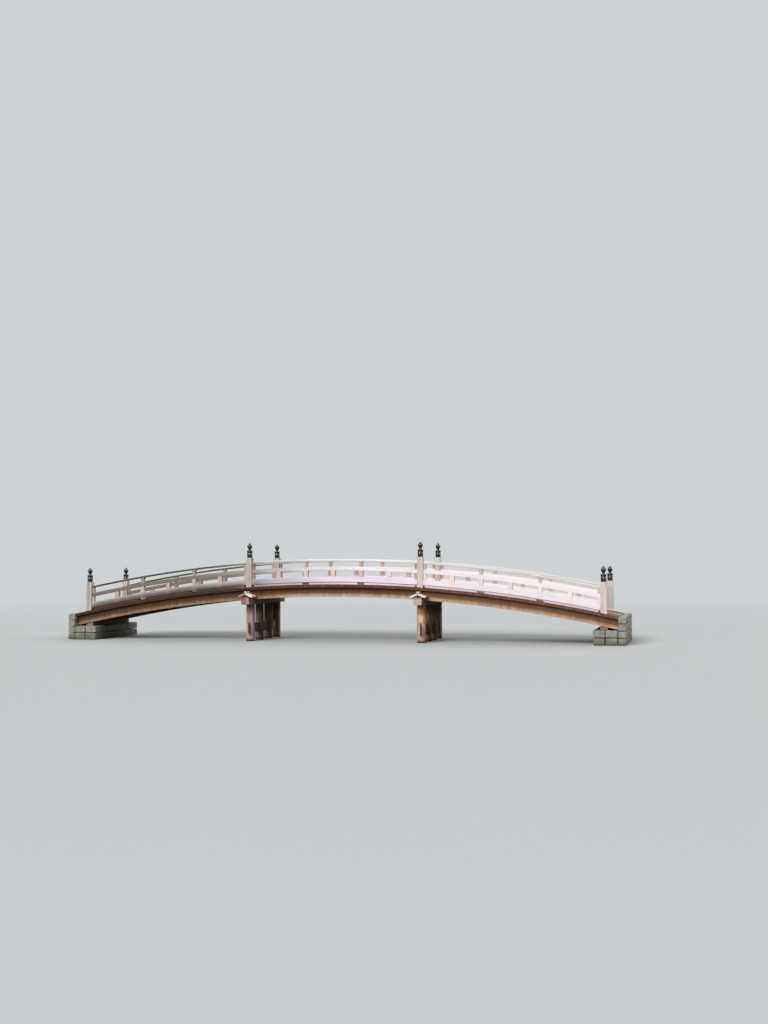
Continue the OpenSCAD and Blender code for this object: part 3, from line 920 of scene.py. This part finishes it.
fascia_material = fascia_wood()
fascia_nails = start_piece()
for side, hand, chance in both_sides("fascia"):
    low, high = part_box(side + "_fascia")
    inner_y = min(abs(low.y), abs(high.y))
    board_t = high.y - low.y
    foot_level = low.z - deck_at(high.x)
    # To each cut-out, over the beam in two halves, and on
    stretches = []
    start = low.x
    for cap_low, cap_high in (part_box("left_cap_beam"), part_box("right_cap_beam")):
        middle_x = (cap_low.x + cap_high.x) / 2
        cut_low, cut_high, foot_z = cap_low.x - beam_gap, cap_high.x + beam_gap, cap_high.z + beam_gap
        stretches += [(start, cut_low, None), (cut_low, middle_x - butt_gap / 2, foot_z)]
        stretches += [(middle_x + butt_gap / 2, cut_high, foot_z)]
        start = cut_high
    boards = start_piece()
    for start, stop, foot_z in stretches + [(start, high.x, None)]:
        count = max(1, round((stop - start) / fascia_board_w))
        joints = [start + (stop - start) * i / count for i in range(count + 1)]
        inner = [joint + fascia_uneven * (chance.random() - 0.5) for joint in joints[1:-1]]
        joints = [start] + inner + [stop]
        for near, far in zip(joints, joints[1:]):
            gap = 0.001 + 0.007 * chance.random() ** 3
            middle_x = (near + far) / 2
            proud = fascia_proud * chance.random()

            def foot_at(x):
                return deck_at(x) + foot_level if foot_z is None else foot_z

            tall = deck_at(middle_x) - plank_t - foot_at(middle_x)

            def up_the_side(along, across, up):
                x = middle_x + across
                foot = foot_at(x)
                head = deck_at(x) - plank_t
                return Vector((x, hand * (inner_y + up - proud), foot + (head - foot) * along / tall))

            outline = squared(far - near - gap, board_t)
            pith = (0.05 * chance.random(), -0.10)
            timber(boards, outline, steps_between(0, tall, 0.06), up_the_side, chance, wear=0.0018, pith=pith)
            nail_x = (far - near) / 2 - fascia_nail_in
            for along in (fascia_nail_foot, tall - fascia_nail_head):
                for across in (-nail_x, nail_x):
                    spot = up_the_side(along, across, board_t) - Vector((0, hand * fascia_nail_sunk, 0))
                    nail_head(fascia_nails, spot, Vector((0, hand, 0)))
    ease_edges(finish_piece(boards, side + "_fascia_boards", "fascia_boards", fascia_material, side + "_fascia"))
finish_piece(fascia_nails, "fascia_nails", "fascia_boards", iron)

# Drain strips. A pale strip lies on the planks under each sill and keeps it out of the wet. A
# notch is scooped from its top below every tall strut, so that rain runs off the deck.
span = 2 * bent_x
post_w = 2 * (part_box("front_main_posts")[1].x - 1.5 * span)
bay = (span - post_w) / 6
runs = [((s - 0.5) * span + post_w / 2, (s + 0.5) * span - post_w / 2) for s in (-1, 0, 1)]
short_bays = (-2, 0, 2)
tall_bays = (-1, 1)
notch_l = 0.280
notch_slope = 0.040
notch_h = 0.052
notch_clear = 0.02
parapet_y = sum(corner.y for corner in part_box("back_sills")) / 2


def place_in_span(material):
    """How far a point is along the bridge from the middle of its own span."""
    inputs = {0: place_of(material)[0], 1: span / 2, 2: -span / 2}
    return add(material.node_tree, "Math", inputs, operation="WRAP").outputs[0]


def paler_to_the_right(material, left_shade, right_light):
    """Painted shade over the left span, painted light towards the right one, and a painted shadow beside the left
    post.
    """
    tree = material.node_tree
    x = place_of(material)[0]
    along = ragged(material, x, 2.0, 0.7)
    on_top = (facing_of(material)[2], 0.4, 0.9, left_shade, 0.4 * left_shade)
    # Painted shade over the left span, weaker on the faces that look up.
    stain(material, (96, 88, 74), (along, -5.8, 1.4, 1, 0), on_top)
    # Painted light towards the right span.
    stain(material, (252, 243, 244), (along, 1.5, 4.0, 0, right_light))
    # A painted shadow of the left post on the timber just to its right.
    from_post = sums(tree, "ADD", x, bent_x)
    stain(material, (104, 94, 80), (from_post, 0.2, 0.7, 0.28, 0), (from_post, 0.08, 0.1))


def pale_wood(name, pale, deep, grey, splits=0.6, right_light=0.5):
    """Timber that the weather has bleached silver, with grey and pinkish drifts along it."""
    material = weathered_wood(name, pale, deep, deep, splits=splits, sun=0.5, uneven=0.5)
    tree = material.node_tree
    drift = drawn_out(tree, remembered(tree, "grain"), 0.9, 3.5, 2)
    stain(material, grey, (drift, 0.52, 0.68, 0, 0.6))
    # Painted shade over the left span and painted light towards the right.
    paler_to_the_right(material, 0.88, right_light)
    return material


strip_head = levels_of("front_drain_strip")[1]
strip_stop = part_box("front_drain_strip")[0].x - runs[0][0]


def strip_wood():
    """Painted shadow of the sill along its upper edge, painted shade over the left span and in the notches, and
    darker on the side towards the deck.
    """
    material = pale_wood("drain strip", (250, 232, 238), (228, 206, 212), (218, 198, 204), right_light=0)
    tree = material.node_tree
    x = place_of(material)[0]
    # Painted shadow of the sill along the upper edge.
    stain(material, (92, 74, 76), (over_the_deck(material), strip_head - 0.026, strip_head - 0.010, 0, 0.75))
    # Painted shade over the left span.
    stain(material, (62, 48, 40), (x, -4.0, -2.3, 0.9, 0))
    stain(material, (200, 180, 184), (x, 1.5, 4.0, 0, 0.3))
    stain(material, (62, 46, 46), inner_faces(material), 0.95)
    from_middle = sums(tree, "ABSOLUTE", place_in_span(material))
    from_notch = sums(tree, "ABSOLUTE", sums(tree, "SUBTRACT", from_middle, bay))
    in_notch = (from_notch, notch_l / 2 - notch_slope, notch_l / 2, 1, 0)
    # Painted shade in the notches.
    stain(material, (58, 40, 40), in_notch, (facing_of(material)[2], 0.3, 0.8, 0.75, 0.95))
    return material


strip_material = strip_wood()
for side, hand, chance in both_sides("drain strips"):
    low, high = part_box(side + "_drain_strip")
    strips = start_piece()
    for s, (start, stop) in zip((-1, 0, 1), runs):
        notches = [s * span + i * bay for i in tall_bays]

        def under_the_sill(along, across, up):
            near = min(abs(along - notch) for notch in notches)
            depth = min(max((notch_l / 2 - near) / notch_slope, 0), 1) * notch_h
            level = up * (strip_head - depth) / strip_head
            return Vector((along, hand * parapet_y + across, deck_at(along) + level))

        half = notch_l / 2
        corners = [notch + k for notch in notches for k in (-half, notch_slope - half, half - notch_slope, half)]
        cuts = steps_between(start + strip_stop, stop - strip_stop, 0.15)
        cuts = [cut for cut in cuts if all(abs(cut - corner) > notch_clear for corner in corners)]
        outline = squared(high.y - low.y, strip_head)
        timber(strips, outline, sorted(cuts + corners), under_the_sill, chance, ease=0.005, wear=0.0008)
    ease_edges(finish_piece(strips, side + "_drain_strips", "pale_timber", strip_material, side + "_drain_strip"))

# Sills. The heaviest timber of each parapet runs along the strips between the main posts. Sun and
# rain have turned it silver, with a pink and lavender cast, and opened long splits in its face.
sill_foot, sill_head = levels_of("front_sills")


def sill_pale_wood():
    """Painted shade along its foot and painted light along its head in the left span, and stained under the
    struts.
    """
    material = pale_wood("parapet sill", (248, 241, 250), (227, 215, 226), (221, 213, 227), splits=0.8)
    x, level = place_of(material)[0], over_the_deck(material)
    # Painted shade along the foot of the sill over the left span.
    stain(material, (94, 84, 72), (level, sill_foot + 0.03, sill_foot + 0.10, 0.75, 0), (x, -3.4, -1.9, 1, 0))
    # Painted light along its head over the left span.
    stain(material, (206, 196, 192), (level, sill_head - 0.09, sill_head - 0.03, 0, 0.4), (x, -3.6, -2.6, 1, 0))
    from_strut = sums(material.node_tree, "PINGPONG", place_in_span(material), bay / 2)
    stain(material, (202, 188, 176), (ragged(material, from_strut, 0.08, 9), 0.05, 0.13, 0.12, 0))
    return material


def parapet_rails(node, words, name, material, outline_of, ease, wear, step=0.07):
    """The timbers of both parapets that run along the arch from main post to main post."""
    foot, head = levels_of("front_" + node)
    for side, hand, chance in both_sides(words):
        low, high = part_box(side + "_" + node)
        rails = start_piece()
        outline = outline_of(high.y - low.y, head - foot)
        place = along_the_arch(hand * parapet_y, foot)
        for start, stop in runs:
            timber(rails, outline, steps_between(start, stop, 0.12), place, chance, ease, step, wear)
        ease_edges(finish_piece(rails, side + name, "pale_timber", material, side + "_" + node))


parapet_rails("sills", "sills", "_sill_timbers", sill_pale_wood(), squared, 0.009, 0.0022)

# Middle rails. A squared rail runs through the heads of the short struts and is tenoned into the
# main posts.
rail_pale = pale_wood("middle rail", (252, 245, 246), (231, 218, 219), (226, 215, 218), right_light=0.6)
mid_foot, mid_head = levels_of("front_mid_rails")
parapet_rails("mid_rails", "middle rails", "_middle_rails", rail_pale, squared, 0.007, 0.0018)

# Top rails. The handrail has a low ridge along it to shed the rain, and hands and weather have
# left it almost white.
rail_crown = 0.017
top_foot, top_head = levels_of("front_top_rails")


def ridged(width, tall):
    """Outline of the handrail: square below, with two slopes that meet along its middle."""
    eaves = tall - rail_crown
    return [(-width / 2, 0), (width / 2, 0), (width / 2, eaves), (0, tall), (-width / 2, eaves)]


hand_pale = pale_wood("top rail", (252, 251, 250), (241, 239, 237), (239, 236, 236), splits=0.5, right_light=0)
hand_x = place_of(hand_pale)[0]
# Painted shade over the left span, on all but the faces that look up.
stain(hand_pale, (76, 70, 56), (hand_x, -4.6, -2.2, 0.9, 0), (facing_of(hand_pale)[2], 0.3, 0.7, 1, 0))
stain(hand_pale, (196, 186, 184), (hand_x, 2.0, 3.2, 0, 0.55))
parapet_rails("top_rails", "top rails", "_top_rail_timbers", hand_pale, ridged, 0.012, 0.0012, 0.04)

# Struts. Short square blocks stand between sill and middle rail. The tall ones go on above it as a
# slimmer neck that ends in a bearing block under the top rail. All are tenoned and pegged.
strut_w = 0.145
neck_w = 0.105
block_h = 0.042
block_w = 0.150


def strut_wood():
    """Painted shade on the sides that face inwards, mostly under the middle rail, beside the posts and, grey
    green, on the necks.
    """
    material = weathered_wood(
        "strut", (250, 237, 234), (226, 206, 200), (224, 204, 196), streaks=1.4, sun=0.3)
    # Painted shade over the left span and painted light towards the right.
    paler_to_the_right(material, 0.5, 0.3)
    level = over_the_deck(material)
    # Painted shade on the sides that face inwards, strongest under the middle rail.
    stain(material, (148, 122, 110), inner_faces(material), (level, mid_foot, mid_head, 0.7, 0.25))
    # Painted shade of the top rail on the necks, grey green.
    stain(material, (140, 148, 130), (level, mid_head - 0.01, mid_head + 0.02, 0, 0.5))
    stain(material, (232, 190, 156), (level, sill_head, sill_head + 0.10, 0.4, 0))
    from_middle = sums(material.node_tree, "ABSOLUTE", place_of(material)[0])
    # Painted shade beside the main posts of the middle span.
    painted_post_shade = (from_middle, bent_x - 0.3, bent_x - 0.2)
    stain(material, (132, 114, 98), painted_post_shade, (from_middle, bent_x - 0.05, bent_x, 0.6, 0))
    return material


def standing(mesh, x, y, wide, thick, low, high, chance):
    """A short upright timber whose foot and head follow the arch."""

    def place(along, across, up):
        return Vector((x + across, y + up - thick / 2, deck_at(x + across) + low + along))

    pith = (0.03, -thick / 2 + 0.02)
    timber(mesh, squared(wide, thick), steps_between(0, high - low, 0.06), place, chance, ease=0.006, pith=pith)


strut_material = strut_wood()
block_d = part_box("front_top_rails")[1].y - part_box("front_top_rails")[0].y
for side, hand, chance in both_sides("struts"):
    y = hand * parapet_y
    short = start_piece()
    tall = start_piece()
    for s in (-1, 0, 1):
        for x in [s * span + i * bay for i in short_bays]:
            standing(short, x, y, strut_w, strut_w, sill_head, mid_foot, chance)
        for x in [s * span + i * bay for i in tall_bays]:
            standing(tall, x, y, strut_w, strut_w, sill_head, mid_foot, chance)
            standing(tall, x, y, neck_w, neck_w, mid_head, top_foot - block_h, chance)
            standing(tall, x, y, block_w, block_d, top_foot - block_h, top_foot, chance)
    ease_edges(finish_piece(short, side + "_short_blocks", "post_timber", strut_material, side + "_short_struts"))
    ease_edges(finish_piece(tall, side + "_tall_uprights", "post_timber", strut_material, side + "_tall_struts"))

# Flank struts. Slim pieces stand against both sides of every main post, under the middle rail and
# above it, and cover the joints of the rails.
flank_w = 0.088
flank_d = 0.112
for side, hand, chance in both_sides("flank struts"):
    y = hand * parapet_y
    flanks = start_piece()
    for start, stop in runs:
        for x in (start + flank_w / 2, stop - flank_w / 2):
            standing(flanks, x, y, flank_w, flank_d, sill_head, mid_foot, chance)
            standing(flanks, x, y, flank_w, flank_d, mid_head, top_foot, chance)
    name = side + "_flank_pieces"
    ease_edges(finish_piece(flanks, name, "post_timber", strut_material, side + "_flank_struts"))

# Main posts. A square post with chamfered arrises stands on the planks over each bent and at both
# ends. It is pinkish grey, warmer at the foot where the rain splashes up from the deck.
post_chamfer = 0.008
post_places = (-1.5 * span, -0.5 * span, 0.5 * span, 1.5 * span)
post_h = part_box("front_main_posts")[1].z - deck_at(bent_x)


def post_wood():
    """Splashed at the foot, with painted shade on the faces that look inwards that gives way above the top rail.
    """
    material = weathered_wood(
        "main post", (236, 225, 223), (208, 195, 191), (206, 190, 182), splits=0.7, sun=0.3)
    level = over_the_deck(material)
    inner = inner_faces(material)
    # Painted shade over the left span and painted light towards the right.
    paler_to_the_right(material, 0.42, 0.1)
    # Painted shade on the faces that look inwards.
    stain(material, (142, 134, 122), inner, 0.5)
    splashed = (ragged(material, level, 0.06, 5), 0.02, 0.11, 0.7, 0)
    stain(material, (236, 200, 187), splashed, (place_of(material)[0], -1, 2))
    # Above the top rail the inner faces are painted paler again, where the painted shade ends.
    stain(material, (216, 220, 214), inner, (level, top_foot - 0.1, top_head + 0.1, 0, 0.45))
    return material


post_material = post_wood()
for side, hand, chance in both_sides("main posts"):
    half = post_w / 2
    cut = half - post_chamfer
    corners = [(half, -cut), (half, cut), (cut, half), (-cut, half)]
    outline = [(a, b + half) for a, b in corners + [(-a, -b) for a, b in corners]]
    cuts = steps_between(0, post_h, 0.07)
    posts = start_piece()
    for x in post_places:

        def on_the_planks(along, across, up):
            foot = deck_at(x + across)
            z = foot + (deck_at(x) + post_h - foot) * along / post_h
            return Vector((x + across, hand * parapet_y + up - half, z))

        timber(posts, outline, cuts, on_the_planks, chance, ease=0.003, step=0.05, wear=0.0016, pith=(0.01, -0.1))
    ease_edges(finish_piece(posts, side + "_posts", "post_timber", post_material, side + "_main_posts"))

# Finials. Every main post wears a cast bronze cap: a sleeve over the head of the post, a beaded
# flange, a hollow neck and an onion that draws in to a point. It has darkened almost to black.
sleeve_d = 0.182
sleeve_h = 0.200
groove_h = 0.011
groove_d = 0.003
sleeve_pins = 8
flange_h = 0.062
flange_out = 0.012
flange_steps = 12
neck_h = 0.056
neck_d = 0.104
onion_d = 0.170
onion_h = 0.207
tip_r = 0.0012
belly_share = 0.36
belly_steps = 14
ogee_power = 0.72
ogee_steps = 22
turned = 72


def onion_outline():
    """A round belly over the neck, then an ogee that draws in to the tip."""
    belly_h = onion_h * belly_share
    points = []
    for i in range(1, belly_steps + 1):
        turn = math.pi / 2 * i / belly_steps
        points.append((neck_d / 2 + (onion_d - neck_d) / 2 * math.sin(turn), belly_h * (1 - math.cos(turn))))
    for i in range(1, ogee_steps):
        share = i / ogee_steps
        wide = onion_d / 2 * ((1 + math.cos(math.pi * share)) / 2) ** ogee_power
        points.append((wide, belly_h + (onion_h - belly_h) * share))
    return points


def finial_outline():
    """The cap from the lip of its sleeve to its tip, with two grooves turned in the sleeve."""
    radius = sleeve_d / 2
    points = [(radius, 0), (radius, 0.018)]
    for level in (0.020, sleeve_h - 0.040):
        points += [(radius, level), (radius - groove_d, level + groove_d)]
        points += [(radius - groove_d, level + groove_h - groove_d), (radius, level + groove_h)]
    points.append((radius, sleeve_h - 0.002))
    bead = flange_h / 3
    for i in range(flange_steps + 1):
        turn = math.pi * i / flange_steps - math.pi / 2
        points.append((radius + flange_out * math.cos(turn), sleeve_h + bead + bead * math.sin(turn)))
    points.append((neck_d / 2 + flange_out, sleeve_h + flange_h))
    points.append((neck_d / 2, sleeve_h + flange_h + flange_out))
    onion_foot = sleeve_h + flange_h + neck_h
    points.append((neck_d / 2, onion_foot))
    points += [(wide, onion_foot + rise) for wide, rise in onion_outline()]
    return points + [(tip_r, onion_foot + onion_h)]


def dark_bronze(name):
    """Cast bronze, brown black with a green bloom in the hollows, a dull polish on the rounds and a painted
    reflection of the sky on the faces that look up.
    """
    material, tree, shader = new_finish(name)
    for key, value in (("Metallic", 1), ("Coat Weight", 0.4), ("Coat Roughness", 0.22)):
        shader.inputs[key].default_value = value
    bloom = blotches(tree, spot_of(tree), 22, 6)
    pits = blotches(tree, spot_of(tree), 210, 3)
    colour = lay(tree, fade(tree, bloom, 0.42, 0.62), paint(64, 61, 58), paint(52, 54, 51))
    surface(tree, shader, colour, fade(tree, bloom, 0.35, 0.65, 0.30, 0.50), pits, 0.25, 0.0012)
    # A painted reflection of the sky, pale on the faces that look up.
    stain(material, (176, 178, 166), (facing_of(material)[2], 0.25, 0.7, 0, 0.3))
    return material


bronze = dark_bronze("dark bronze")
for side, hand in (("front", -1), ("back", 1)):
    caps = start_piece()
    for x in post_places:
        foot = Vector((x, hand * parapet_y, deck_at(x) + post_h))
        outline = finial_outline()
        rings = [[foot + out * wide + up_by(rise) for out in round_about(turned)] for wide, rise in outline]
        skin(caps, rings, rings, [0] * len(rings), 0.5)
        for facing in round_about(sleeve_pins):
            nail_head(caps, foot + facing * sleeve_d / 2 + up_by(sleeve_h / 2), facing)
    finish_piece(caps, side + "_bronze_caps", "finial_bronze", bronze, side + "_finials")

# Floor. A plain pale studio floor at the level of the pile feet. It keeps the shadow of the bridge
# and runs out into the pale background.
floor_r = 220.0
floor_drop = 0.001
floor_corners = 64
backdrop = paint(206, 210, 212)


def seen_directly(tree):
    """1 for what the camera sees straight or in a mirror or glass, 0 for light on its way."""
    path = add(tree, "LightPath").outputs
    seen = sums(tree, "MAXIMUM", path["Is Camera Ray"], path["Is Glossy Ray"])
    return sums(tree, "MAXIMUM", seen, path["Is Transmission Ray"])


def pale_floor():
    """Pale grey near the bridge, and as bright as the background far off."""
    material, tree, shader = new_finish("pale floor")
    shader.inputs["Roughness"].default_value = 1
    shader.inputs["Specular IOR Level"].default_value = 0
    seen = seen_directly(tree)
    tree.links.new(lay(tree, seen, paint(100, 100, 98), paint(198, 200, 201)), shader.inputs["Base Color"])
    away = add(tree, "VectorMath", {0: spot_of(tree)}, operation="LENGTH").outputs["Value"]
    far_off = times(tree, fade(tree, away, 16, 60), seen)
    glow = add(tree, "Emission", {"Color": backdrop, "Strength": 1})
    mix = add(tree, "MixShader", {0: far_off, 1: shader.outputs[0], 2: glow.outputs[0]})
    tree.links.new(mix.outputs[0], tree.nodes["Material Output"].inputs["Surface"])
    return material


data = bpy.data.meshes.new("floor")
corners = [out * floor_r - up_by(floor_drop) for out in round_about(floor_corners)]
data.from_pydata(corners, [], [list(range(floor_corners))])
data.materials.append(pale_floor())
floor = bpy.data.objects.new("floor", data)
bpy.context.scene.collection.objects.link(floor)

# Lamps. A wide soft lamp stands over the front of the bridge and a little to the left. Two weaker
# ones stand off its right end and behind it, and a pale light from above fills in.
world = bpy.data.worlds.new("studio")
bpy.context.scene.world = world
world.use_nodes = True
tree = world.node_tree
even = tree.nodes["Background"]
even.inputs["Color"].default_value = (1, 1, 1, 1)
overhead = xyz(tree, add(tree, "TexCoord").outputs["Generated"])[2]
tree.links.new(fade(tree, overhead, 0, 0.7, 0.10, 0.25), even.inputs["Strength"])
behind = add(tree, "Background", {"Color": backdrop, "Strength": 1})
mix = add(tree, "MixShader", {0: seen_directly(tree), 1: even.outputs[0], 2: behind.outputs[0]})
tree.links.new(mix.outputs[0], tree.nodes["World Output"].inputs["Surface"])


def soft_lamp(name, azimuth, elevation, strength, spread):
    """A far lamp, as wide in the sky as its spread, in degrees round from the front and up."""
    data = bpy.data.lights.new(name, "SUN")
    data.energy = strength
    data.angle = math.radians(spread)
    lamp = bpy.data.objects.new(name, data)
    lamp.rotation_euler = (math.radians(90 - elevation), 0, math.radians(azimuth))
    bpy.context.scene.collection.objects.link(lamp)


soft_lamp("front lamp", -17, 30, 3.15, 35)
soft_lamp("end lamp", 95, 25, 1.2, 50)
soft_lamp("back lamp", 185, 28, 0.9, 60)

# Camera. It stands in front of the bridge and to the right, a little over head height, and looks up
# by two degrees. Its place comes from the posts, rails and pile feet in the photograph.
photo_tall = 1024
camera_spot = Vector((12.16, -42.577, 2.581))
camera_yaw = math.radians(-14.187)
camera_pitch = math.radians(2.397)
camera_roll = math.radians(-0.216)
focal_pixels = 1268.7
film_tall = 36

look = Vector((
    math.sin(camera_yaw) * math.cos(camera_pitch),
    math.cos(camera_yaw) * math.cos(camera_pitch),
    math.sin(camera_pitch),
))
level_right = look.cross(straight_up).normalized()
level_up = level_right.cross(look)
right = math.cos(camera_roll) * level_right + math.sin(camera_roll) * level_up
up = math.cos(camera_roll) * level_up - math.sin(camera_roll) * level_right
turn = Matrix((right, up, -look)).transposed()
lens = bpy.data.cameras.new("camera")
lens.sensor_width = film_tall
lens.lens = focal_pixels / photo_tall * film_tall
lens.clip_end = 1000
camera = bpy.data.objects.new("camera", lens)
camera.matrix_world = Matrix.Translation(camera_spot) @ turn.to_4x4()
bpy.context.scene.collection.objects.link(camera)
bpy.context.scene.camera = camera
bpy.context.scene.view_settings.view_transform = "Standard"
